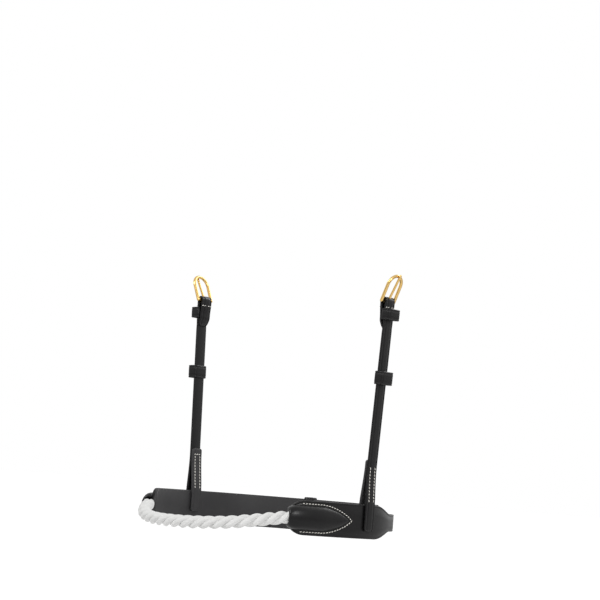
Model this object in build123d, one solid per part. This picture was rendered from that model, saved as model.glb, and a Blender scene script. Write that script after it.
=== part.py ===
from build123d import *
import math
import os

# Rope noseband of a riding bridle, in millimetres.
# The leather loop lies flat: +Z is up along the cheeks, the nose rope is towards -Y, the chin strap is
# towards +Y, and the horse's left side, the near side, is towards +X. The origin is the centre of the
# chin half of the loop, at half the band's height. Every near piece is modelled once, and its off twin is
# its mirror image in the YZ plane.

# ---- the loop, seen from above -------------------------------------------------------------------
chin_radius = 114.0        # the half circle round the chin, on the joint between leather and lining
side_radius = 154.0        # the gentler arc along the side of the nose
side_angle = 31.5          # how far that arc runs, in degrees, from the hanger to the rope
chin_strap_start = 67.0    # degrees round the chin at which the chin strap has its cut end

# ---- leather -------------------------------------------------------------------------------------
band_height = 33.0
outer_leather = 2.6
lining_leather = 2.4
billet_height = 17.0       # the near band's narrow strap end, which goes round the chin
taper_start = 9.0          # degrees at which the near band starts to narrow
taper_end = 24.0           # and where it is a billet
lining_end = 11.0
billet_tip = 122.0
tip_cut = 6.0
billet_holes = (46.0, 58.0, 70.0, 97.0, 109.0)
hole_radius = 1.7
used_hole = 82.2           # the hole that the chin buckle's tongue is through, pulled long
used_hole_length = 17.0

# ---- rope and its covers -------------------------------------------------------------------------
rope_diameter = 12.5
rope_offset = 4.5          # the rope's line, outward of the loop's line, at the mouth of its cover
cover_radius = 11.0
cover_collar = 9.0         # how far the cover's full round mouth stands before the band's end
cover_length = 68.0
cover_tail_radius = 3.5
cover_tail_turn = 12.0     # degrees, which lays the tail along the band's curve
bore_clearance = 0.8       # round the rope in its cover
bore_depth = 7.0
rope_entry = 3.0

# ---- hangers -------------------------------------------------------------------------------------
hanger_width = 14.0
hanger_leather = 2.4
hanger_lean = 2.5          # degrees outward
hanger_length = 193.0      # from the fold at the band to the buckle's bar
fork_height = 30.0         # where the hanger's two layers start to part
inner_layer_height = 38.0
turn_back = 27.0           # the strap's end, sewn down behind it
turn_back_seam = 6.0
foot_depth_outer = 25.5    # how far the hanger's leather reaches down the band, outside and inside
foot_depth_inner = 21.5
fold_clearance = 0.3

# ---- keepers and runners -------------------------------------------------------------------------
keeper_wall = 1.6
keeper_height = 11.0
keeper_drop = 13.0         # the keeper's middle, below the buckle's bar
runner_height = 13.0
runner_drop = 75.0
billet_room = 5.2          # room for a strap end between the hanger and its keepers
side_room = 0.35
loop_corner = 0.3
chin_runner_angle = 113.0
chin_runner_width = 10.0
chin_runner_room = 5.0

# ---- buckles -------------------------------------------------------------------------------------
wire_radius = 1.6
bar_clearance = 0.05
buckle_room = 1.3          # between the strap's edge and the buckle's arm
buckle_arm = 16.5          # straight length of the arms, from the bar
hanger_buckle_lean = 20.0
tongue_radius = 1.2
tongue_loop_width = 3.6
tongue_slot = 4.4
tongue_gap = 0.25          # between the tongue and the buckle's front
chin_buckle_angle = 88.0
chin_buckle_lean = -1.5
chin_bar_radius = 120.6    # the chin buckle's bar, from the origin
chape_end = 106.0

half_band = band_height / 2
half_billet = billet_height / 2
band_outside = chin_radius + outer_leather
band_inside = chin_radius - lining_leather
side_centre = (chin_radius - side_radius, 0)
turn_radius = wire_radius + bar_clearance


# ---- helpers -------------------------------------------------------------------------------------
def sector(centre, start, end, inner_radius, outer_radius, low, high):
    """A curved wall between two radii and two angles, from low to high."""
    outer = CenterArc(centre, outer_radius, start, end - start)
    inner = CenterArc(centre, inner_radius, start, end - start)
    outline = [outer, Line(outer @ 1, inner @ 1), inner, Line(inner @ 0, outer @ 0)]
    return Pos(0, 0, low) * extrude(make_face(outline), high - low)


def side_wall(inside, outside, low, high):
    """The near side of the loop, between two offsets from its line."""
    return sector(side_centre, -side_angle, 0, side_radius + inside, side_radius + outside, low, high)


def chin_wall(start, end, inside, outside, low, high):
    return sector((0, 0), start, end, chin_radius + inside, chin_radius + outside, low, high)


def round_point(radius, angle):
    turn = math.radians(angle)
    return (radius * math.cos(turn), radius * math.sin(turn))


def ribbon(stations, thickness, height):
    """A strap that rises and falls round the chin: stations are (angle, radius of its inner face)."""
    inner = Spline([round_point(radius, angle) for angle, radius in stations])
    outer = Spline([round_point(radius + thickness, angle) for angle, radius in stations])
    outline = [inner, Line(inner @ 1, outer @ 1), outer, Line(outer @ 0, inner @ 0)]
    return Pos(0, 0, -height / 2) * extrude(make_face(outline), height)


def radial_plane(radius, angle):
    """Local X points outward, local Y up, and local Z back along the chin, towards smaller angles."""
    turn = math.radians(angle)
    outward = (math.cos(turn), math.sin(turn), 0)
    backward = (math.sin(turn), -math.cos(turn), 0)
    return Plane(origin=(*round_point(radius, angle), 0), x_dir=outward, z_dir=backward)


def across(shape):
    """The off twin of a near piece."""
    return mirror(shape, about=Plane.YZ)


def rounded_ring(inner_x, outer_x, inner_y, height):
    """A leather loop round a strap that stands along Z: a rectangular tube with rounded corners."""
    middle = (inner_x + outer_x) / 2
    inner = extrude(RectangleRounded(outer_x - inner_x, inner_y, loop_corner), height)
    outer_corner = loop_corner + keeper_wall
    outer = extrude(
        RectangleRounded(outer_x - inner_x + 2 * keeper_wall, inner_y + 2 * keeper_wall, outer_corner),
        height,
    )
    return Pos(middle, 0, -height / 2) * (outer - inner)


# ---- the leather loop ----------------------------------------------------------------------------
def band_taper():
    """Cuts the near band down to the billet's height between the two taper angles."""
    start = round_point(chin_radius, taper_start)[1]
    end = round_point(chin_radius, taper_end)[1]
    far = 2 * end
    cuts = []
    for up in (1, -1):
        corners = [
            (start, up * half_band),
            (end, up * half_billet),
            (far, up * half_billet),
            (far, up * 2 * half_band),
            (start, up * 2 * half_band),
        ]
        profile = make_face(Polyline(*corners, close=True))
        cuts.append(extrude(Plane.YZ * profile, 2 * chin_radius))
    return cuts


def near_side_band():
    """Outer leather of the near side, with its billet round the chin, over the chin strap."""
    band = side_wall(0, outer_leather, -half_band, half_band)
    taper = chin_wall(0, taper_end, 0, outer_leather, -half_band, half_band)
    for cut in band_taper():
        taper -= cut
    over_strap = band_outside + 0.6
    over_bar = chin_bar_radius + wire_radius + hanger_leather
    stations = [
        (taper_end, chin_radius),
        (38, chin_radius + 0.9),
        (52, band_outside + 0.1),
        (66, over_strap),
        (75, over_strap + 0.1),
        (81.5, over_strap + 3.4),
        (chin_buckle_angle, over_bar),
        (95, over_bar - 0.4),
        (101, over_bar - 2.6),
        (chape_end, over_bar - 3.4),
        (chin_runner_angle, over_strap + 1.6),
        (billet_tip, over_strap + 0.3),
    ]
    billet = ribbon(stations, outer_leather, billet_height)
    tip = radial_plane(band_outside, billet_tip).location
    for up in (1, -1):
        corner = Rot(X=-up * 38) * Box(6 * outer_leather, 2 * tip_cut, 4 * tip_cut)
        billet -= tip * Pos(0, up * (half_billet + 1.6), 0) * corner
    for angle in billet_holes:
        billet -= radial_plane(band_outside, angle).location * Rot(Y=90) * Cylinder(hole_radius, 40)
    slot = Box(40, 2 * (tongue_radius + 0.8), used_hole_length)
    billet -= radial_plane(band_outside, used_hole).location * slot
    return band + taper + billet


def near_side_lining():
    lining = side_wall(-lining_leather, 0, -half_band, half_band)
    return lining + chin_wall(0, lining_end, -lining_leather, 0, -half_band, half_band)


def chin_strap(inside, outside):
    """One layer of the chin strap: the off side and on round under the chin."""
    strap = across(side_wall(inside, outside, -half_band, half_band))
    return strap + chin_wall(chin_strap_start, 180, inside, outside, -half_band, half_band)


# ---- the rope and its covers ---------------------------------------------------------------------
turn_at_mouth = math.radians(side_angle)
mouth_outward = Vector(math.cos(turn_at_mouth), -math.sin(turn_at_mouth), 0)
mouth_forward = Vector(-math.sin(turn_at_mouth), -math.cos(turn_at_mouth), 0)
band_end = Vector(*side_centre, 0) + mouth_outward * side_radius
rope_mouth = band_end + mouth_outward * rope_offset + mouth_forward * cover_collar


def near_rope_cover():
    """The domed leather that holds the rope's end: a round collar, then a tail that dies into the band."""
    plane = Plane(origin=rope_mouth, x_dir=mouth_outward, z_dir=-mouth_forward)
    collar = Pos(0, 0, cover_collar / 2) * Cylinder(cover_radius, cover_collar)
    tail_length = cover_length - cover_collar
    tail = Pos(0, 0, tail_length / 2) * Cone(cover_radius, cover_tail_radius, tail_length)
    bore = Pos(0, 0, bore_depth / 2) * Cylinder(rope_diameter / 2 + bore_clearance, bore_depth)
    tail = Pos(0, 0, cover_collar) * Rot(Y=-cover_tail_turn) * rounded_tip(tail)
    cover = plane.location * (collar + tail - bore)
    behind_outer_face = side_wall(-60, outer_leather, -half_band, half_band)
    return cover - behind_outer_face


def rounded_tip(tail):
    return fillet(tail.edges().sort_by(Axis.Z)[-1], cover_tail_radius * 0.8)


def rope_path():
    """The rope hangs in a shallow bow from mouth to mouth. Straight runs are joined by tangent arcs."""
    start = rope_mouth - mouth_forward * rope_entry
    corners = [
        (76.4, -113.2, -5.0),
        (48.6, -132.8, -10.5),
        (0.0, -142.9, -13.0),
        (-48.6, -132.8, -12.0),
        (-76.4, -113.2, -5.2),
    ]
    points = [Vector(start.X, start.Y, 0)]
    points += [Vector(*corner) for corner in corners]
    points += [Vector(-start.X, start.Y, 0)]
    radii = []
    for before, corner, after in zip(points, points[1:], points[2:]):
        turn = (corner - before).get_angle(after - corner)
        shorter_run = min((corner - before).length, (after - corner).length)
        radii.append(0.45 * shorter_run / math.tan(math.radians(turn / 2)))
    print("rope bend radii", [round(radius, 1) for radius in radii])
    print("rope runs", [round((b - a).length, 1) for a, b in zip(points, points[1:])])
    return FilletPolyline(*points, radius=radii)


def nose_rope():
    path = rope_path()
    rope = sweep((Plane(path @ 0, z_dir=path % 0)) * Circle(rope_diameter / 2), path=path)
    expected = math.pi * (rope_diameter / 2) ** 2 * path.length
    print(f"rope length {path.length:.1f}, volume {rope.volume:.0f}, section times length {expected:.0f}")
    return rope


# ---- buckles -------------------------------------------------------------------------------------
def buckle_frame(strap_width, lean):
    """A bar along Y through the local origin, two straight arms along Z, and a rounded front."""
    half_width = strap_width / 2 + buckle_room + wire_radius
    frame = Rot(X=90) * Cylinder(wire_radius, 2 * half_width)
    for side in (1, -1):
        frame += Pos(0, side * half_width, buckle_arm / 2) * Cylinder(wire_radius, buckle_arm)
        frame += Pos(0, side * half_width, 0) * Sphere(wire_radius)
    frame += Pos(0, 0, buckle_arm) * arch_upright(half_width)
    return Rot(Y=lean) * frame


def arch_upright(half_width):
    """Half a ring of wire in the YZ plane, above Z = 0."""
    ring = Rot(Y=90) * Torus(half_width, wire_radius)
    reach = half_width + 2 * wire_radius
    return ring & Pos(0, 0, reach / 2) * Box(4 * wire_radius, 2 * reach, reach)


def buckle_tongue(strap_width, lean):
    """A loop round the bar and a pin that rests on the outside of the buckle's front."""
    half_width = strap_width / 2 + buckle_room + wire_radius
    reach = buckle_arm + half_width
    rise = wire_radius + tongue_radius + tongue_gap
    loop_radius = turn_radius + 1.3
    loop = Rot(X=90) * (Cylinder(loop_radius, tongue_loop_width) - Cylinder(turn_radius, tongue_loop_width))
    slope = math.degrees(math.atan2(rise - 0.6, reach))
    pin_length = reach + wire_radius - turn_radius - 0.4
    pin = Pos(0, 0, pin_length / 2) * Cylinder(tongue_radius, pin_length)
    pin += Pos(0, 0, pin_length) * Sphere(tongue_radius)
    pin = Pos(0.6, 0, turn_radius + 0.4) * Rot(Y=slope) * pin
    return Rot(Y=lean) * (loop + pin)


# ---- hangers -------------------------------------------------------------------------------------
fold_radius = (outer_leather + lining_leather) / 2 + hanger_leather
fold_height = half_band + fold_radius + fold_clearance


def hanger_place():
    """The hanger's own frame: origin on its fold at the band, Z up the strap, X outward."""
    return Location((chin_radius, 0, fold_height), (0, hanger_lean, 0))


def hanger_layer(side, height):
    """One layer of the hanger: it starts in the rounded fold and thins to one leather above the fork."""
    corners = [
        (side * fold_radius, 0),
        (side * hanger_leather, fork_height),
        (side * hanger_leather, height),
        (0, height),
        (0, 0),
    ]
    sheet = make_face(Polyline(*corners, close=True))
    wall = extrude(Plane.XZ * sheet, hanger_width / 2, both=True)
    foot = Rot(X=90) * Cylinder(fold_radius, hanger_width)
    reach = 2 * fold_radius
    return wall + (foot & Pos(side * reach / 2, 0, -reach / 2) * Box(reach, hanger_width, reach))


def near_hanger_strap():
    strap = hanger_layer(1, hanger_length)
    behind = -2 * turn_radius
    turn = Rot(X=90) * (
        Cylinder(turn_radius + hanger_leather, hanger_width) - Cylinder(turn_radius, hanger_width)
    )
    turn &= Pos(0, 0, turn_radius + hanger_leather) * Box(20, hanger_width, 2 * (turn_radius + hanger_leather))
    strap += Pos(-turn_radius, 0, hanger_length) * turn
    end_x = behind - hanger_leather / 2
    strap += Pos(end_x, 0, hanger_length - turn_back / 2) * Box(hanger_leather, hanger_width, turn_back)
    seam_z = hanger_length - turn_back + turn_back_seam / 2
    strap += Pos(behind / 2, 0, seam_z) * Box(-behind, hanger_width, turn_back_seam)
    slot = Box(30, tongue_slot, 14)
    strap -= Pos(-turn_radius, 0, hanger_length + 2) * slot
    return hanger_place() * strap


def near_hanger_inner_layer():
    return hanger_place() * hanger_layer(-1, inner_layer_height)


def hanger_foot(inside, outside, low):
    """The hanger's leather on the band, sewn down on one face."""
    wall = side_wall(inside, outside, low, half_band)
    wall += chin_wall(0, 2 * taper_start, inside, outside, low, half_band)
    return wall & Pos(chin_radius, 0, 0) * Box(60, hanger_width, 2 * band_height)


def near_keeper():
    """The fixed keeper, sewn between the hanger and its turned-back end."""
    outer_x = hanger_leather + billet_room
    ring = rounded_ring(0, outer_x, hanger_width + 2 * side_room, keeper_height)
    return hanger_place() * Pos(0, 0, hanger_length - keeper_drop) * ring


def near_runner():
    outer_x = hanger_leather + billet_room
    ring = rounded_ring(-side_room, outer_x, hanger_width + 2 * side_room, runner_height)
    return hanger_place() * Pos(0, 0, hanger_length - runner_drop) * ring


def near_buckle(piece):
    return hanger_place() * Pos(-turn_radius, 0, hanger_length) * piece(hanger_width, hanger_buckle_lean)


# ---- the chin buckle -----------------------------------------------------------------------------
def chin_buckle_chape():
    """The short strap that carries the chin buckle, turned round its bar and sewn to the chin strap."""
    bar = chin_bar_radius
    upper = bar + turn_radius
    under = chin_wall(chin_buckle_angle, chape_end, outer_leather, outer_leather + 2.3, -half_billet, half_billet)
    stations = [
        (chin_buckle_angle, upper),
        (94, upper - 0.2),
        (99, upper - 2.1),
        (103, band_outside + 2.35),
        (chape_end, band_outside + 2.3),
    ]
    over = ribbon(stations, 2.1, billet_height)
    ring = Rot(X=90) * (Cylinder(turn_radius + 2.1, billet_height) - Cylinder(turn_radius, billet_height))
    reach = 10
    ring &= Pos(0, 0, reach / 2) * Box(2 * reach, billet_height, reach)
    place = radial_plane(bar, chin_buckle_angle).location
    chape = under + over + place * ring
    chape -= place * Pos(0, 0, 3) * Box(20, tongue_slot, 16)
    return chape


def chin_buckle(piece):
    return radial_plane(chin_bar_radius, chin_buckle_angle).location * piece(billet_height, chin_buckle_lean)


def chin_runner():
    """A loose loop round the chin strap and the billet on it."""
    inner_x = band_inside - side_room
    outer_x = band_outside + outer_leather + chin_runner_room
    ring = rounded_ring(0, outer_x - inner_x, band_height + 2 * side_room, chin_runner_width)
    return radial_plane(inner_x, chin_runner_angle).location * ring


# ---- every node ----------------------------------------------------------------------------------
def near_pieces():
    outer_foot = (outer_leather, outer_leather + hanger_leather, half_band - foot_depth_outer)
    inner_foot = (-lining_leather - hanger_leather, -lining_leather, half_band - foot_depth_inner)
    return {
        "rope_cover": near_rope_cover(),
        "hanger_strap": near_hanger_strap(),
        "hanger_inner_layer": near_hanger_inner_layer(),
        "hanger_outer_foot": hanger_foot(*outer_foot),
        "hanger_inner_foot": hanger_foot(*inner_foot),
        "keeper": near_keeper(),
        "runner": near_runner(),
        "buckle_frame": near_buckle(buckle_frame),
        "buckle_tongue": near_buckle(buckle_tongue),
    }


nodes = {
    "near_side_band": near_side_band(),
    "near_side_lining": near_side_lining(),
    "chin_strap": chin_strap(0, outer_leather),
    "chin_strap_lining": chin_strap(-lining_leather, 0),
    "nose_rope": nose_rope(),
    "chin_buckle_chape": chin_buckle_chape(),
    "chin_buckle_frame": chin_buckle(buckle_frame),
    "chin_buckle_tongue": chin_buckle(buckle_tongue),
    "chin_runner": chin_runner(),
}
for name, piece in near_pieces().items():
    nodes["near_" + name] = piece
    nodes["off_" + name] = across(piece)

os.makedirs("parts", exist_ok=True)
for name, piece in nodes.items():
    solids = piece.solids()
    shape = solids[0] if len(solids) == 1 else Compound(children=list(solids))
    export_step(shape, f"parts/{name}.step")
    low, high = piece.bounding_box().min, piece.bounding_box().max
    print(f"{name:26s} {len(solids)} solid, {low.X:7.1f}..{high.X:6.1f} {low.Y:7.1f}..{high.Y:6.1f}"
          f" {low.Z:7.1f}..{high.Z:6.1f}")
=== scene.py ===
# %% [markdown]
# # A rope noseband
# This lesson dresses a finished mechanical frame. The frame holds every strap, buckle and loop at its real
# size, and it knows how each one moves. Here each piece gets the shape and finish that a saddler gives it:
# rounded and creased edges, stitching in white thread, a laid rope and polished brass. All lengths are in
# metres, in the frame's own axes: +Z runs up the hangers, -Y towards the nose, +X to the horse's left.

# %% Load the frame
import math

import bmesh
import bpy
from mathutils import Matrix, Vector


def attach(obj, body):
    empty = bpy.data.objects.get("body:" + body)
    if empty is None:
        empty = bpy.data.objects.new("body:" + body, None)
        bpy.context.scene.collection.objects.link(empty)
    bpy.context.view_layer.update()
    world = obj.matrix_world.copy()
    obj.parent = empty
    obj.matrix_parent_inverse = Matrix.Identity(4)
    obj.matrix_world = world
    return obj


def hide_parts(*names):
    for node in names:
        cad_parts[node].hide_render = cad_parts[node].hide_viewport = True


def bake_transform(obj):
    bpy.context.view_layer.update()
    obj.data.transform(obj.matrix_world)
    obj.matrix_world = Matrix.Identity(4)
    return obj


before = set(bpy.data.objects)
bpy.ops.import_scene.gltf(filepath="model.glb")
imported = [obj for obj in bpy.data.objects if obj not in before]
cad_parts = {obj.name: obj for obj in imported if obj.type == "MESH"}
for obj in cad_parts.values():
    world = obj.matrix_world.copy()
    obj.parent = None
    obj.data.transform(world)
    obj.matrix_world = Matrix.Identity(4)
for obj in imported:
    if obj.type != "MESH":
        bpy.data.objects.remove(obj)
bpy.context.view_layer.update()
MM = 0.001

# %% [markdown]
# ## Where the leather runs
# Seen from above, the loop is a half circle round the chin with a gentler arc along each side of the nose.
# One function gives the place and the outward direction at any distance along that line, so that bands,
# covers and stitching all follow the same curve. Distance zero is at the near hanger. It grows towards the
# chin and on to the off side, and it is negative towards the near end of the rope.

# %% The loop's line
chin_radius = 114 * MM
side_radius = 154 * MM
side_angle = math.radians(31.5)
side_length = side_radius * side_angle
chin_length = chin_radius * math.pi
outer_leather = 2.6 * MM
lining_leather = 2.4 * MM
half_band = 16.5 * MM


def loop_place(distance):
    """(point on the loop's line, outward direction) at a distance along it."""
    off_side = distance > chin_length / 2
    along = chin_length - distance if off_side else distance
    radius = chin_radius if along > 0 else side_radius
    centre_x = 0 if along > 0 else chin_radius - side_radius
    angle = along / radius
    outward = Vector((math.cos(angle), math.sin(angle), 0))
    point = Vector((centre_x, 0, 0)) + outward * radius
    if off_side:
        point.x = -point.x
        outward.x = -outward.x
    return point, outward


def steps(start, end, count):
    return [start + (end - start) * i / (count - 1) for i in range(count)]


def smooth(low, high, value):
    """0 below low, 1 above high, and an even curve between them."""
    t = min(1, max(0, (value - low) / (high - low)))
    return t * t * (3 - 2 * t)


# %% [markdown]
# ## One helper for all the leather
# Strap leather is a flat sheet with rounded, painted edges and a creased line pressed along each edge. A
# box with a bevel would give the rounding but not the crease, so the helper carries a whole section along
# the strap: a round edge, a narrow groove, a flat face, and the same again. Each row of the strap gives
# the middle of its back face, the direction across it, the direction out of it, its half width and its
# thickness, so one helper makes bands, straps, keepers and pointed ends.

# %% A leather sheet from rows
def strap_section(half_width, thickness, crease, groove):
    """Points (across, out) round one section, starting in the middle of one edge."""
    edge = min(0.9 * MM, half_width * 0.6)
    half = thickness / 2
    face = []
    for i in range(5):
        turn = i / 4 * math.pi / 2
        face.append((-half_width + edge * (1 - math.cos(turn)), half + half * math.sin(turn)))
    room = half_width - edge
    inset = min(crease, room * 0.7)
    bite = min(0.55 * MM, room * 0.2)
    for shift, depth in ((-bite, 0), (0, groove), (bite, 0)):
        face.append((-half_width + edge + inset + shift, thickness - depth))
    face.append((-(room - inset) * 0.4, thickness))
    top = face + [(-across, out) for across, out in reversed(face)]
    back = [(across, thickness - out) for across, out in reversed(face[1:5])]
    bottom = [(-across, out) for across, out in reversed(back)]
    return top + bottom + back


def add_mesh(name, points, faces, material, smooth_faces=True):
    mesh = bpy.data.meshes.new(name)
    mesh.from_pydata([tuple(point) for point in points], [], faces)
    mesh.validate()
    for polygon in mesh.polygons:
        polygon.use_smooth = smooth_faces
    mesh.update()
    mesh.materials.append(material)
    piece = bpy.data.objects.new(name, mesh)
    bpy.context.scene.collection.objects.link(piece)
    return piece


def leather_sheet(name, rows, material, crease=1.5 * MM, groove=0.3 * MM, closed=False):
    """Rows are (back face middle, across, out, half width, thickness)."""
    points, faces = [], []
    for middle, across, out, half_width, thickness in rows:
        for a, n in strap_section(half_width, thickness, crease, groove):
            points.append(middle + across * a + out * n)
    ring = len(points) // len(rows)
    for row in range(len(rows) if closed else len(rows) - 1):
        after = (row + 1) % len(rows)
        for i in range(ring):
            j = (i + 1) % ring
            faces.append((row * ring + i, row * ring + j, after * ring + j, after * ring + i))
    if not closed:
        faces.append(tuple(range(ring))[::-1])
        faces.append(tuple(range(len(points) - ring, len(points))))
    piece = add_mesh(name, points, faces, material)
    outward_normals(piece)
    return piece


def outward_normals(piece):
    work = bmesh.new()
    work.from_mesh(piece.data)
    bmesh.ops.recalc_face_normals(work, faces=work.faces)
    work.to_mesh(piece.data)
    work.free()


# %% [markdown]
# ## Finishes
# Bridle leather has a fine pebbled grain, a waxed shine that varies a little, and edges that catch the
# light. The grain is the same effect on the outside and on the lining, at other strengths, so it is a
# shader node group with named inputs, built once. It puts out a height and a patchiness, and each material
# decides what they do.

# %% Helpers for shader nodes
def new_material(name, color, roughness):
    material = bpy.data.materials.new(name)
    material.use_nodes = True
    shader = material.node_tree.nodes["Principled BSDF"]
    shader.inputs["Base Color"].default_value = (*color, 1)
    shader.inputs["Roughness"].default_value = roughness
    return material, material.node_tree, shader


def add_node(tree, kind, **values):
    node = tree.nodes.new(kind)
    for key, value in values.items():
        if key in node.inputs:
            node.inputs[key].default_value = value
        else:
            setattr(node, key, value)
    return node


def map_range(tree, source, low, high):
    node = add_node(tree, "ShaderNodeMapRange")
    node.inputs["To Min"].default_value = low
    node.inputs["To Max"].default_value = high
    tree.links.new(source, node.inputs["Value"])
    return node.outputs["Result"]


def bump(tree, shader, height, strength, distance):
    node = add_node(tree, "ShaderNodeBump", Strength=strength, Distance=distance)
    tree.links.new(height, node.inputs["Height"])
    tree.links.new(node.outputs["Normal"], shader.inputs["Normal"])


# %% The grain group
def leather_grain_group():
    group = bpy.data.node_groups.new("Leather grain", "ShaderNodeTree")
    sockets = group.interface
    for name, value in (("Grain per metre", 900.0), ("Patches per metre", 45.0)):
        socket = sockets.new_socket(name, in_out="INPUT", socket_type="NodeSocketFloat")
        socket.default_value = value
    sockets.new_socket("Height", in_out="OUTPUT", socket_type="NodeSocketFloat")
    sockets.new_socket("Patches", in_out="OUTPUT", socket_type="NodeSocketFloat")
    entry = group.nodes.new("NodeGroupInput")
    leave = group.nodes.new("NodeGroupOutput")
    place = group.nodes.new("ShaderNodeTexCoord")
    cells = add_node(group, "ShaderNodeTexVoronoi", feature="SMOOTH_F1", Smoothness=0.6)
    pores = add_node(group, "ShaderNodeTexNoise", Detail=3.0, Roughness=0.6)
    patches = add_node(group, "ShaderNodeTexNoise", Detail=4.0, Roughness=0.55)
    mix = add_node(group, "ShaderNodeMath", operation="MULTIPLY_ADD")
    for texture in (cells, pores, patches):
        group.links.new(place.outputs["Object"], texture.inputs["Vector"])
    group.links.new(entry.outputs["Grain per metre"], cells.inputs["Scale"])
    group.links.new(entry.outputs["Grain per metre"], pores.inputs["Scale"])
    group.links.new(entry.outputs["Patches per metre"], patches.inputs["Scale"])
    group.links.new(pores.outputs[0], mix.inputs[0])
    mix.inputs[1].default_value = 0.5
    group.links.new(cells.outputs["Distance"], mix.inputs[2])
    group.links.new(mix.outputs[0], leave.inputs["Height"])
    group.links.new(patches.outputs[0], leave.inputs["Patches"])
    return group


leather_grain = leather_grain_group()


# %% Leathers
def leather(name, dark, light, roughness_low, roughness_high, grain, strength, gloss):
    """Leather whose colour and shine drift between two values in soft patches."""
    material, tree, shader = new_material(name, dark, roughness_high)
    texture = add_node(tree, "ShaderNodeGroup", node_tree=leather_grain)
    texture.inputs["Grain per metre"].default_value = grain
    ramp = add_node(tree, "ShaderNodeMix", data_type="RGBA")
    ramp.inputs[6].default_value = (*dark, 1)
    ramp.inputs[7].default_value = (*light, 1)
    tree.links.new(texture.outputs["Patches"], ramp.inputs[0])
    tree.links.new(ramp.outputs[2], shader.inputs["Base Color"])
    shine = map_range(tree, texture.outputs["Patches"], roughness_low, roughness_high)
    tree.links.new(shine, shader.inputs["Roughness"])
    shader.inputs["Specular IOR Level"].default_value = gloss
    bump(tree, shader, texture.outputs["Height"], strength, 0.12 * MM)
    return material


bridle_leather = leather(
    "Bridle leather",
    dark=(0.0025, 0.0025, 0.003),
    light=(0.006, 0.0055, 0.0055),
    roughness_low=0.26,
    roughness_high=0.44,
    grain=900,
    strength=0.35,
    gloss=0.2,
)
lining = leather(
    "Lining leather",
    dark=(0.013, 0.0128, 0.0135),
    light=(0.026, 0.025, 0.026),
    roughness_low=0.45,
    roughness_high=0.62,
    grain=1300,
    strength=0.4,
    gloss=0.3,
)


# %% [markdown]
# Waxed thread, cotton and brass are simpler. Thread and cotton are rough and show fine fibres. Brass is a
# metal whose colour is its reflection, with faint polishing marks that change how sharp that reflection is.

# %% Thread, cotton and brass
def fibre_material(name, dark, light, scale, strength):
    material, tree, shader = new_material(name, light, 0.85)
    place = add_node(tree, "ShaderNodeTexCoord")
    fibres = add_node(tree, "ShaderNodeTexNoise", Scale=scale, Detail=5.0, Roughness=0.7)
    ramp = add_node(tree, "ShaderNodeMix", data_type="RGBA")
    ramp.inputs[6].default_value = (*dark, 1)
    ramp.inputs[7].default_value = (*light, 1)
    tree.links.new(place.outputs["Object"], fibres.inputs["Vector"])
    tree.links.new(fibres.outputs[0], ramp.inputs[0])
    tree.links.new(ramp.outputs[2], shader.inputs["Base Color"])
    shader.inputs["Sheen Weight"].default_value = 0.25
    bump(tree, shader, fibres.outputs[0], strength, 0.25 * MM)
    return material


thread = fibre_material("Waxed thread", (0.6, 0.58, 0.52), (0.85, 0.83, 0.78), 2500, 0.3)
cotton = fibre_material("Rope cotton", (0.46, 0.46, 0.455), (0.7, 0.7, 0.69), 1400, 0.6)


def brass_material():
    material, tree, shader = new_material("Polished brass", (0.66, 0.44, 0.16), 0.2)
    shader.inputs["Metallic"].default_value = 1
    place = add_node(tree, "ShaderNodeTexCoord")
    marks = add_node(tree, "ShaderNodeTexNoise", Scale=600.0, Detail=4.0)
    tree.links.new(place.outputs["Object"], marks.inputs["Vector"])
    shine = map_range(tree, marks.outputs[0], 0.12, 0.3)
    tree.links.new(shine, shader.inputs["Roughness"])
    bump(tree, shader, marks.outputs[0], 0.08, 0.1 * MM)
    return material


brass = brass_material()

# %% [markdown]
# ## Camera, light and floor
# The noseband hangs on a head, so its loop tips down a little towards the chin. The camera stands level on
# the near side and in front, and it is turned by that tip into the loop's own axes. A long lens from two
# metres keeps the far side almost as large as the near one.

# %% The camera
turn_to_near = math.radians(40)
loop_tip = math.radians(7.0)
camera_distance = 2.1
camera_right = 0.024
camera_height = 0.226
look_down = math.radians(0.33)
lens_mm = 126
sensor_mm = 36


def place_camera():
    towards = Vector((math.sin(turn_to_near), -math.cos(turn_to_near), 0))
    right = Vector((math.cos(turn_to_near), math.sin(turn_to_near), 0))
    up = Vector((0, 0, 1))
    back = towards * math.cos(look_down) + up * math.sin(look_down)
    above = up * math.cos(look_down) - towards * math.sin(look_down)
    turn = Matrix((right, above, back)).transposed().to_4x4()
    place = Matrix.Translation(right * camera_right + towards * camera_distance + up * camera_height)
    camera = bpy.data.objects.new("camera", bpy.data.cameras.new("camera"))
    camera.matrix_world = Matrix.Rotation(loop_tip, 4, "X") @ place @ turn
    camera.data.lens = lens_mm
    camera.data.sensor_width = sensor_mm
    bpy.context.scene.collection.objects.link(camera)
    bpy.context.scene.camera = camera


place_camera()


# %% Lamps, world and floor
def soft_lamp(name, place, size, power):
    lamp = bpy.data.lights.new(name, "AREA")
    lamp.size = size
    lamp.energy = power
    holder = bpy.data.objects.new(name, lamp)
    holder.location = place
    aim = Vector((0, 0, 0.05)) - Vector(place)
    holder.rotation_euler = aim.to_track_quat("-Z", "Y").to_euler()
    bpy.context.scene.collection.objects.link(holder)


soft_lamp("key", (-0.5, -1.5, 1.3), 0.5, 20)
soft_lamp("side", (1.5, -0.7, 0.9), 0.45, 14)
soft_lamp("back", (0.3, 1.5, 1.2), 0.8, 14)


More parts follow.
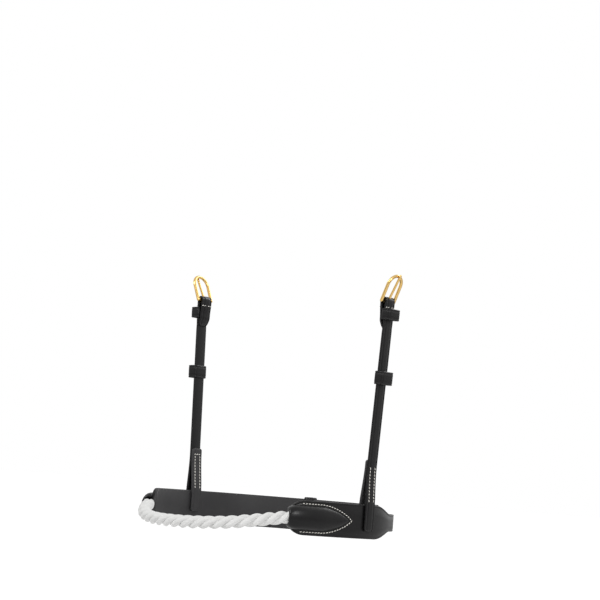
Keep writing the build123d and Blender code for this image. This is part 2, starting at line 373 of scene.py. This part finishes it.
def white_world():
    world = bpy.data.worlds.new("white")
    bpy.context.scene.world = world
    world.use_nodes = True
    tree = world.node_tree
    path = add_node(tree, "ShaderNodeLightPath")
    seen = path.outputs["Is Camera Ray"]
    for ray in ("Is Glossy Ray", "Is Transmission Ray"):
        total = add_node(tree, "ShaderNodeMath", operation="ADD")
        tree.links.new(seen, total.inputs[0])
        tree.links.new(path.outputs[ray], total.inputs[1])
        seen = total.outputs[0]
    strength = map_range(tree, seen, 0.5, 1.0)
    tree.nodes["Background"].inputs["Color"].default_value = (1, 1, 1, 1)
    tree.links.new(strength, tree.nodes["Background"].inputs["Strength"])


def pale_floor(height, reach):
    material, tree, shader = new_material("Floor", (0.92, 0.92, 0.92), 0.9)
    path = add_node(tree, "ShaderNodeLightPath")
    shader.inputs["Emission Color"].default_value = (1, 1, 1, 1)
    glow = map_range(tree, path.outputs["Is Camera Ray"], 0.0, 0.55)
    tree.links.new(glow, shader.inputs["Emission Strength"])
    turns = ((-1, -1), (1, -1), (1, 1), (-1, 1))
    corners = [(reach * x, reach * y, height) for x, y in turns]
    add_mesh("floor", corners, [(0, 1, 2, 3)], material, False)


white_world()
pale_floor(-0.3, 60)
bpy.context.scene.view_settings.view_transform = "Standard"

# %% [markdown]
# ## The nose rope
# The rope is three strands of cotton laid round each other. It is held in a leather cover at each end and
# bows between them. Its route is a few chosen points on one smooth curve. Each strand then winds round that
# curve, and yarns wind round each strand the other way, which is what keeps a real rope from opening.

# %% The rope's route
rope_diameter = 12.5 * MM
rope_bow = [
    (0.0764, -0.1132, -0.005),
    (0.0486, -0.1328, -0.0105),
    (0.0, -0.1429, -0.013),
    (-0.0486, -0.1328, -0.012),
    (-0.0764, -0.1132, -0.0052),
]
cover_rope_offset = 4.5 * MM
cover_collar = 9 * MM
rope_entry = 3 * MM


def rope_mouth():
    """(place, forward direction) where the rope's line leaves its near cover."""
    point, outward = loop_place(-side_length)
    forward = Vector((outward.y, -outward.x, 0))
    return point + outward * cover_rope_offset + forward * cover_collar, forward


mouth, mouth_forward = rope_mouth()
rope_start = mouth - mouth_forward * rope_entry
rope_end = (-rope_start.x, rope_start.y, rope_start.z)
rope_points = [tuple(rope_start), *rope_bow, rope_end]


def route_line():
    """Points read along the route's NURBS curve."""
    data = bpy.data.curves.new("rope_route", "CURVE")
    data.dimensions = "3D"
    spline = data.splines.new("NURBS")
    spline.points.add(len(rope_points) - 1)
    for knot, point in zip(spline.points, rope_points):
        knot.co = (*point, 1)
    spline.order_u = 3
    spline.use_endpoint_u = True
    spline.resolution_u = 60
    holder = bpy.data.objects.new("rope_route", data)
    bpy.context.scene.collection.objects.link(holder)
    bpy.context.view_layer.update()
    mesh = bpy.data.meshes.new_from_object(holder)
    line = [vertex.co.copy() for vertex in mesh.vertices]
    bpy.data.meshes.remove(mesh)
    bpy.data.objects.remove(holder)
    return line


rope_line = route_line()
rope_length = sum((b - a).length for a, b in zip(rope_line, rope_line[1:]))
print(f"rope length {rope_length * 1000:.0f} mm from {len(rope_line)} points")

# %% The strands
strand_radius = 3.35 * MM
strand_circle = 2.9 * MM
lay_length = 35 * MM
yarns = 8
yarn_lay = 20 * MM
yarn_relief = 0.16 * MM
strand_sides = 40


def laid_rope(name, line):
    points, faces = [], []
    for strand in range(3):
        travelled = 0
        first = len(points)
        for i, centre in enumerate(line):
            before, after = line[max(i - 1, 0)], line[min(i + 1, len(line) - 1)]
            along = (after - before).normalized()
            if i:
                travelled += (centre - line[i - 1]).length
            level = along.cross(Vector((0, 0, 1))).normalized()
            upward = level.cross(along)
            lay = 2 * math.pi * (travelled / lay_length + strand / 3)
            out = level * math.cos(lay) + upward * math.sin(lay)
            side = along.cross(out)
            heart = centre + out * strand_circle
            for k in range(strand_sides):
                angle = 2 * math.pi * k / strand_sides
                twist = yarns * (angle + 2 * math.pi * travelled / yarn_lay)
                radius = strand_radius + yarn_relief * abs(math.cos(twist / 2)) - yarn_relief
                points.append(heart + (out * math.cos(angle) + side * math.sin(angle)) * radius)
        for i in range(len(line) - 1):
            for k in range(strand_sides):
                a = first + i * strand_sides + k
                b = first + i * strand_sides + (k + 1) % strand_sides
                faces.append((a, b, b + strand_sides, a + strand_sides))
        faces.append(tuple(range(first, first + strand_sides))[::-1])
        faces.append(tuple(range(len(points) - strand_sides, len(points))))
    return add_mesh(name, points, faces, cotton)


rope = laid_rope("nose_rope_strands", rope_line)
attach(rope, "noseband")
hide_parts("nose_rope")

# %% [markdown]
# ## The bands
# The outside of each band is one piece of thick leather and the inside is softer lining leather, glued and
# sewn to it. Both are made as sheets that follow the loop. The front end is cut round, so the half height
# shrinks to nothing there as it does on an ellipse. The near band narrows behind the hanger into the
# strap end that goes round the chin, and that end rises over the buckle's bar and comes down again.

# %% Heights and offsets along the loop
UP = Vector((0, 0, 1))
front_reach = 8 * MM
front_round = 17 * MM
half_billet = 8.5 * MM
billet_tip_angle = 122
lining_end_angle = 11
chin_runner_angle = 113


def degrees_round(angle):
    return chin_radius * math.radians(angle)


def rounded_end(gap, reach):
    """Share of the full height at a distance from a rounded end."""
    return math.sqrt(max(0.0, 1 - (1 - min(1, gap / reach)) ** 2))


def band_rows(distances, half_height, offset, thickness):
    rows = []
    for distance in distances:
        point, outward = loop_place(distance)
        rows.append((point + outward * offset(distance), UP, outward, half_height(distance), thickness))
    return rows


near_front = -side_length - front_reach
off_front = chin_length + side_length + front_reach


def dense_front(start, towards):
    """Rows crowd together where the end is rounded."""
    sign = 1 if towards > start else -1
    gaps = [front_round * (i / 14) ** 2 for i in range(15)]
    gaps[0] = 0.05 * MM
    rest = steps(start + sign * front_round, towards, 90)[1:]
    return [start + sign * gap for gap in gaps] + rest


def near_band_height(distance):
    full = half_band * rounded_end(distance - near_front, front_round)
    narrowing = smooth(degrees_round(7), degrees_round(26), distance)
    height = full + (half_billet - half_band) * narrowing
    tip_gap = degrees_round(billet_tip_angle) - distance
    return height * min(1, 0.12 + rounded_end(max(0, tip_gap), 9 * MM))


billet_stations = [
    (24, 0.0),
    (38, 0.9),
    (52, 2.7),
    (66, 3.2),
    (75, 3.3),
    (81.5, 6.6),
    (88, 10.6),
    (95, 10.2),
    (101, 8.0),
    (106, 7.2),
    (113, 4.8),
    (122, 3.5),
]


def billet_offset(distance):
    angle = math.degrees(distance / chin_radius)
    if angle <= billet_stations[0][0]:
        return 0
    for (a, low), (b, high) in zip(billet_stations, billet_stations[1:]):
        if angle <= b:
            return (low + (high - low) * smooth(a, b, angle)) * MM
    return billet_stations[-1][1] * MM


# %% The near band
near_path = dense_front(near_front, degrees_round(7))
near_path += steps(degrees_round(7.5), degrees_round(billet_tip_angle), 150)
near_band = leather_sheet(
    "near_band_leather",
    band_rows(near_path, near_band_height, billet_offset, outer_leather),
    bridle_leather,
    crease=1.3 * MM,
)
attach(near_band, "noseband")
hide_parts("near_side_band")


def near_lining_height(distance):
    end = degrees_round(lining_end_angle)
    inset = 0.3 * MM
    full = (half_band - inset) * rounded_end(distance - near_front, front_round)
    return full * (0.2 + 0.8 * rounded_end(max(0, end - distance), 6 * MM))


lining_path = dense_front(near_front, degrees_round(5))
lining_path += steps(degrees_round(5.3), degrees_round(lining_end_angle), 24)
near_lining = leather_sheet(
    "near_band_lining",
    band_rows(lining_path, near_lining_height, lambda d: -lining_leather, lining_leather),
    lining,
    groove=0,
)
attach(near_lining, "noseband")
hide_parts("near_side_lining")

# %% The chin strap
chin_start = degrees_round(67)


def chin_strap_height(distance):
    return half_band * rounded_end(off_front - distance, front_round)


chin_path = [chin_start] + dense_front(off_front, chin_start + 0.5 * MM)[::-1]
chin_outer = leather_sheet(
    "chin_strap_leather",
    band_rows(chin_path, chin_strap_height, lambda d: 0, outer_leather),
    bridle_leather,
    crease=1.3 * MM,
)
chin_inner = leather_sheet(
    "chin_strap_inside",
    band_rows(
        chin_path, lambda d: chin_strap_height(d) - 0.01 * MM, lambda d: -lining_leather, lining_leather
    ),
    lining,
    groove=0,
)
for piece, node, finish in (
    (chin_outer, "chin_strap", "bridle_leather"),
    (chin_inner, "chin_strap_lining", "lining_leather"),
):
    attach(piece, "noseband")
    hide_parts(node)

# %% [markdown]
# ## Stitching
# A saddler's stitch is a short slanting thread that sinks into its holes at both ends. A dotted texture
# would not catch the light, so each stitch is a small bent bead of thread, and one function lays them
# along any line of places and face directions.

# %% A row of stitches
stitch_length = 2.3 * MM
stitch_pitch = 3.1 * MM
thread_radius = 0.38 * MM


def resample(line, pitch):
    """Evenly spaced (point, face direction) along a line of such pairs."""
    spaced, need = [], 0.0
    for (a, na), (b, nb) in zip(line, line[1:]):
        length = (b - a).length
        while need <= length and length > 0:
            t = need / length
            spaced.append((a.lerp(b, t), na.lerp(nb, t).normalized(), (b - a).normalized()))
            need += pitch
        need -= length
    return spaced


def stitch_row(name, lines, body, side=None):
    """Rides on body; where side is given, it is joined to no body and stays where it is made."""
    points, faces = [], []
    rings, sides = 7, 8
    for line in lines:
        for place, out, along in resample(line, stitch_pitch):
            slant = (along + out.cross(along) * 0.18).normalized()
            level = out.cross(slant)
            first = len(points)
            for i in range(rings):
                t = i / (rings - 1) * 2 - 1
                thick = thread_radius * (0.35 + 0.65 * math.sqrt(max(0.0, 1 - t * t)))
                centre = place + slant * t * stitch_length / 2
                centre += out * thread_radius * (0.55 - 0.6 * t * t)
                for k in range(sides):
                    angle = 2 * math.pi * k / sides
                    points.append(centre + (level * math.cos(angle) + out * math.sin(angle)) * thick)
            for i in range(rings - 1):
                for k in range(sides):
                    a, b = first + i * sides + k, first + i * sides + (k + 1) % sides
                    faces.append((a, b, b + sides, a + sides))
            faces.append(tuple(range(first, first + sides))[::-1])
            faces.append(tuple(range(len(points) - sides, len(points))))
    piece = add_mesh(name, points, faces, thread)
    outward_normals(piece)
    if side is None:
        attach(piece, body)
    else:
        bend_with_hanger(piece)
    return piece


def bend_with_hanger(piece):
    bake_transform(piece)


# %% [markdown]
# ## The rope covers
# Each end of the rope is held under leather that was wetted and pressed over it. The dome is round at the
# mouth, keeps its height for half its length, and dies into the band in a pointed arch with a stitched
# border. Its surface is a grid: one way along the band, the other way over the dome.

# %% The domes
cover_length = 66 * MM
dome_half_height = 11.4 * MM
dome_rise = 10.6 * MM
cover_leather = 1.6 * MM


def arch_share(along):
    """Half height of the pointed arch, as a share, at a share of its length from the mouth."""
    if along < 0.5:
        return 1.0
    t = (along - 0.5) / 0.5
    return max(0.0, (1 - t**1.7)) ** 0.85


def cover_place(side, along):
    front = near_front if side > 0 else off_front
    return loop_place(front + side * along * cover_length)


def rope_cover(side, name):
    points, faces = [], []
    rows, columns = 60, 32
    for i in range(rows):
        along = i / (rows - 1)
        point, outward = cover_place(side, along)
        opened = rounded_end(along * cover_length + 0.4 * MM, 10 * MM)
        mouth_width = rope_diameter / 2 + 0.5 * MM
        width = (mouth_width + (dome_half_height - mouth_width) * opened) * arch_share(along) + 0.2 * MM
        rise = dome_rise * (1 - 0.72 * smooth(0.12, 1.0, along)) * (0.25 + 0.75 * arch_share(along) ** 0.5)
        rise *= 0.84 + 0.16 * opened
        base = outer_leather - 0.4 * MM
        for k in range(columns):
            angle = math.pi * k / (columns - 1)
            swell = math.sin(angle) ** 0.75
            points.append(point + outward * (base + rise * swell) + UP * (-math.cos(angle) * width))
    for i in range(rows - 1):
        for k in range(columns - 1):
            a = i * columns + k
            faces.append((a, a + 1, a + columns + 1, a + columns))
    outer_count = len(points)
    for i in range(outer_count):
        row = i // columns
        point, outward = cover_place(side, row / (rows - 1))
        axis = point + outward * outer_leather
        inward = axis - points[i]
        shrink = min(cover_leather, inward.length * 0.5)
        points.append(points[i] + (inward.normalized() * shrink if inward.length > 0 else inward))
    inner = [tuple(outer_count + index for index in reversed(face)) for face in faces]
    faces += inner
    for k in range(columns - 1):
        faces.append((k + 1, k, outer_count + k, outer_count + k + 1))
        a = (rows - 1) * columns + k
        faces.append((a, a + 1, outer_count + a + 1, outer_count + a))
    for i in range(rows - 1):
        for k in (0, columns - 1):
            a, b = i * columns + k, (i + 1) * columns + k
            faces.append((a, b, outer_count + b, outer_count + a))
    piece = add_mesh(name, points, faces, bridle_leather)
    outward_normals(piece)
    return piece


def cover_border(side):
    """The stitched line round the dome, on the band's outer face."""
    line = []
    for up in (-1, 1):
        shares = steps(0.22, 1.06, 60)
        for along in shares if up < 0 else shares[::-1]:
            point, outward = cover_place(side, along)
            height = (dome_half_height + 1.9 * MM) * arch_share(min(1, along / 1.06))
            line.append((point + outward * outer_leather + UP * up * height, outward))
    return line


for side, prefix in ((1, "near"), (-1, "off")):
    cover = rope_cover(side, prefix + "_rope_cover_leather")
    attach(cover, "noseband")
    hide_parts(prefix + "_rope_cover")
    stitch_row(prefix + "_rope_cover_stitching", [cover_border(side)], "noseband")

# %% [markdown]
# ## The hangers
# A hanger is one strap. Below, it forks over the band with a layer sewn down on each face. Above, it is
# turned back round the buckle's bar and sewn behind. The strap is drawn as a path seen from the front, and
# the leather is joined to no body, so it stays where it is drawn.

# %% Paths of the hanger's leather
hanger_half_width = 7 * MM
hanger_leather = 2.4 * MM
hanger_lean = math.radians(2.5)
fold_height = 21.7 * MM
hanger_length = 193 * MM
turn_radius = 1.65 * MM


def up_hanger(across, height):
    """A place in the near hanger's own upright axes, turned into the frame's."""
    x = chin_radius + across * math.cos(hanger_lean) + height * math.sin(hanger_lean)
    return Vector((x, 0, fold_height - across * math.sin(hanger_lean) + height * math.cos(hanger_lean)))


def bezier(a, b, c, d, count):
    line = []
    for t in steps(0, 1, count):
        s = 1 - t
        line.append(a * s**3 + b * 3 * s * s * t + c * 3 * s * t * t + d * t**3)
    return line


def outer_path():
    """Back face of the hanger's outer leather, from its foot to the end of the turned-back part."""
    face = chin_radius + outer_leather
    foot = [Vector((face, 0, z)) for z in steps(-9 * MM, 14 * MM, 12)]
    start, end = Vector((face, 0, 14 * MM)), up_hanger(0, 34 * MM)
    fork = bezier(start, start + UP * 9 * MM, up_hanger(0, 18 * MM), end, 16)
    upright = [up_hanger(0, z) for z in steps(36 * MM, hanger_length, 50)]
    turn = []
    for angle in steps(0, math.pi, 14)[1:]:
        across = -turn_radius + turn_radius * math.cos(angle)
        turn.append(up_hanger(across, hanger_length + turn_radius * math.sin(angle)))
    back = bezier(
        up_hanger(-3.3 * MM, hanger_length - 1 * MM),
        up_hanger(-3.0 * MM, hanger_length - 9 * MM),
        up_hanger(-1.9 * MM, hanger_length - 12 * MM),
        up_hanger(-1.75 * MM, hanger_length - 19 * MM),
        12,
    )
    tail = [up_hanger(-x * MM, hanger_length - z * MM) for x, z in ((1.3, 21), (0.6, 23.5), (0.15, 27))]
    return foot + fork[1:] + upright + turn + back + tail


def inner_path():
    face = chin_radius - lining_leather
    foot = [Vector((face, 0, z)) for z in steps(-5 * MM, 14 * MM, 10)]
    start, end = Vector((face, 0, 14 * MM)), up_hanger(0, 32 * MM)
    fork = bezier(start, start + UP * 8 * MM, up_hanger(0, 18 * MM), end, 16)
    upright = [up_hanger(0, z) for z in steps(33 * MM, 38 * MM, 6)]
    return foot + fork[1:] + upright


def path_rows(path, side, out_sign, thin_from=None):
    """Rows for leather_sheet along a path seen from the front."""
    rows = []
    across = Vector((0, 1, 0))
    for i, place in enumerate(path):
        along = (path[min(i + 1, len(path) - 1)] - path[max(i - 1, 0)]).normalized()
        out = Vector((along.z, 0, -along.x)) * out_sign
        thickness = hanger_leather
        if thin_from is not None and i >= thin_from:
            thickness *= 1 - 0.55 * (i - thin_from) / (len(path) - 1 - thin_from)
        width = hanger_half_width
        gap = min((place - path[0]).length, (place - path[-1]).length)
        width *= 0.72 + 0.28 * rounded_end(gap, 2.5 * MM)
        middle = Vector((side * place.x, 0, place.z))
        rows.append((middle, across, Vector((side * out.x, 0, out.z)), width, thickness))
    return rows


# %% Hangers on both sides
for side, prefix in ((1, "near"), (-1, "off")):
    line = outer_path()
    outer = leather_sheet(
        prefix + "_hanger_leather", path_rows(line, side, 1, len(line) - 4), bridle_leather, crease=1.4 * MM
    )
    inner = leather_sheet(
        prefix + "_hanger_inner_leather", path_rows(inner_path(), side, -1), lining, crease=1.4 * MM
    )
    for piece, nodes, finish in (
        (outer, ("hanger_strap", "hanger_outer_foot"), "bridle_leather"),
        (inner, ("hanger_inner_layer", "hanger_inner_foot"), "lining_leather"),
    ):
        bend_with_hanger(piece)
        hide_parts(*(prefix + "_" + node for node in nodes))

# %% Stitching on the hangers
def face_line(path, rise, low, high, side, y, out_sign):
    """A line on the face of a hanger's leather, between two heights: (point, face direction)."""
    line = []
    for i, place in enumerate(path[:-1]):
        if low <= place.z <= high:
            along = (path[i + 1] - place).normalized()
            out = Vector((along.z, 0, -along.x)) * out_sign
            spot = place + out * rise
            line.append((Vector((side * spot.x, y, spot.z)), Vector((side * out.x, 0, out.z))))
    return line


seam_low, seam_high, seam_y = 18 * MM, 54 * MM, 3.6 * MM
turn_seam_drop = 6.2 * MM
turned_back_face = -5.3 * MM
for side, prefix in ((1, "near"), (-1, "off")):
    hanger = prefix + "_hanger"
    outer_line = outer_path()
    outside = [
        face_line(outer_line, hanger_leather, seam_low, seam_high, side, y, 1)
        for y in (-seam_y, seam_y)
    ]
    stitch_row(prefix + "_hanger_seam", outside, hanger, side)
    inner_line = inner_path()
    inside = [
        face_line(inner_line, hanger_leather, seam_low, seam_high, side, y, -1)
        for y in (-seam_y, seam_y)
    ]
    inside.append([inside[0][-1], inside[1][-1]])
    stitch_row(prefix + "_hanger_inner_seam", inside, hanger, side)
    rows = []
    for across, sign in ((hanger_leather, 1), (turned_back_face, -1)):
        place = up_hanger(across, hanger_length - turn_seam_drop)
        out = Vector((side * sign, 0, 0))
        for reach in ((-6.0, -2.6), (2.6, 6.0)):
            rows.append([(Vector((side * place.x, y * MM, place.z)), out) for y in reach])
    stitch_row(prefix + "_turn_stitches", rows, hanger)

# %% [markdown]
# ## Keepers and runners
# A keeper is a strip of leather bent into a loop. Its rows run round a rectangle with rounded corners, and
# the same leather helper closes them into a ring, creased along both edges. The fixed keeper is sewn in
# between the strap and its turned-back end, and the runner slides.

# %% Leather loops
keeper_leather = 1.6 * MM
loop_half_y = 7.35 * MM
loop_outer_face = 7.6 * MM
keeper_drop = 13 * MM
runner_drop = 75 * MM


def loop_rows(centre, x_axis, y_axis, width_axis, half_x, half_y, corner, half_width):
    """Rows round a rounded rectangle whose inner half sizes are half_x and half_y."""
    rows = []
    for cx, cy, start in ((1, 1, 0), (-1, 1, 90), (-1, -1, 180), (1, -1, 270)):
        for angle in steps(start, start + 90, 9):
            turn = math.radians(angle)
            out = x_axis * math.cos(turn) + y_axis * math.sin(turn)
            middle = centre + x_axis * cx * (half_x - corner)
            middle = middle + y_axis * cy * (half_y - corner) + out * corner
            rows.append((middle, width_axis, out, half_width, keeper_leather))
    return rows


def hanger_loop(side, name, low_x, high_x, height, half_width, body, node):
    centre = up_hanger((low_x + high_x) / 2, height)
    centre.x *= side
    x_axis = Vector((side * math.cos(hanger_lean), 0, -math.sin(hanger_lean)))
    up_axis = Vector((side * math.sin(hanger_lean), 0, math.cos(hanger_lean)))
    half_x = (high_x - low_x) / 2
    y_axis = Vector((0, 1, 0))
    rows = loop_rows(centre, x_axis, y_axis, up_axis, half_x, loop_half_y, 1.1 * MM, half_width)
    piece = leather_sheet(name, rows, bridle_leather, crease=0.9 * MM, groove=0.28 * MM, closed=True)
    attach(piece, body)
    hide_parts(node)


for side, prefix in ((1, "near"), (-1, "off")):
    hanger_loop(
        side,
        prefix + "_fixed_keeper_leather",
        low_x=-0.1 * MM,
        high_x=loop_outer_face,
        height=hanger_length - keeper_drop,
        half_width=5.5 * MM,
        body=prefix + "_hanger",
        node=prefix + "_keeper",
    )
    hanger_loop(
        side,
        prefix + "_runner_leather",
        low_x=-0.35 * MM,
        high_x=loop_outer_face,
        height=hanger_length - runner_drop,
        half_width=6.5 * MM,
        body=prefix + "_runner_loop",
        node=prefix + "_runner",
    )

# %% The chin runner
point, outward = loop_place(degrees_round(chin_runner_angle))
inner_edge = -lining_leather - 0.35 * MM
outer_edge = outer_leather + outer_leather + 5 * MM
chin_tangent = Vector((-outward.y, outward.x, 0))
runner_rows = loop_rows(
    point + outward * (inner_edge + outer_edge) / 2,
    outward,
    UP,
    chin_tangent,
    (outer_edge - inner_edge) / 2,
    half_band + 0.35 * MM,
    1.5 * MM,
    5 * MM,
)
chin_runner = leather_sheet(
    "chin_runner_leather", runner_rows, bridle_leather, crease=0.9 * MM, closed=True
)
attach(chin_runner, "chin_runner_loop")
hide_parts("chin_runner")

# %% [markdown]
# ## Brass and the pieces that stay
# The buckles have their true shape in the frame already, so they only take the brass. The short strap
# behind the chin buckle keeps its shape too, with its edges rounded by a small bevel.

# %% Materials on the frame's own pieces
for name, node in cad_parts.items():
    if "frame" in name or "tongue" in name:
        node.data.materials.clear()
        node.data.materials.append(brass)
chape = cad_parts["chin_buckle_chape"]
chape.data.materials.clear()
chape.data.materials.append(bridle_leather)
rounding = chape.modifiers.new("rounded edges", "BEVEL")
rounding.width = 0.4 * MM
rounding.segments = 3
rounding.limit_method = "ANGLE"
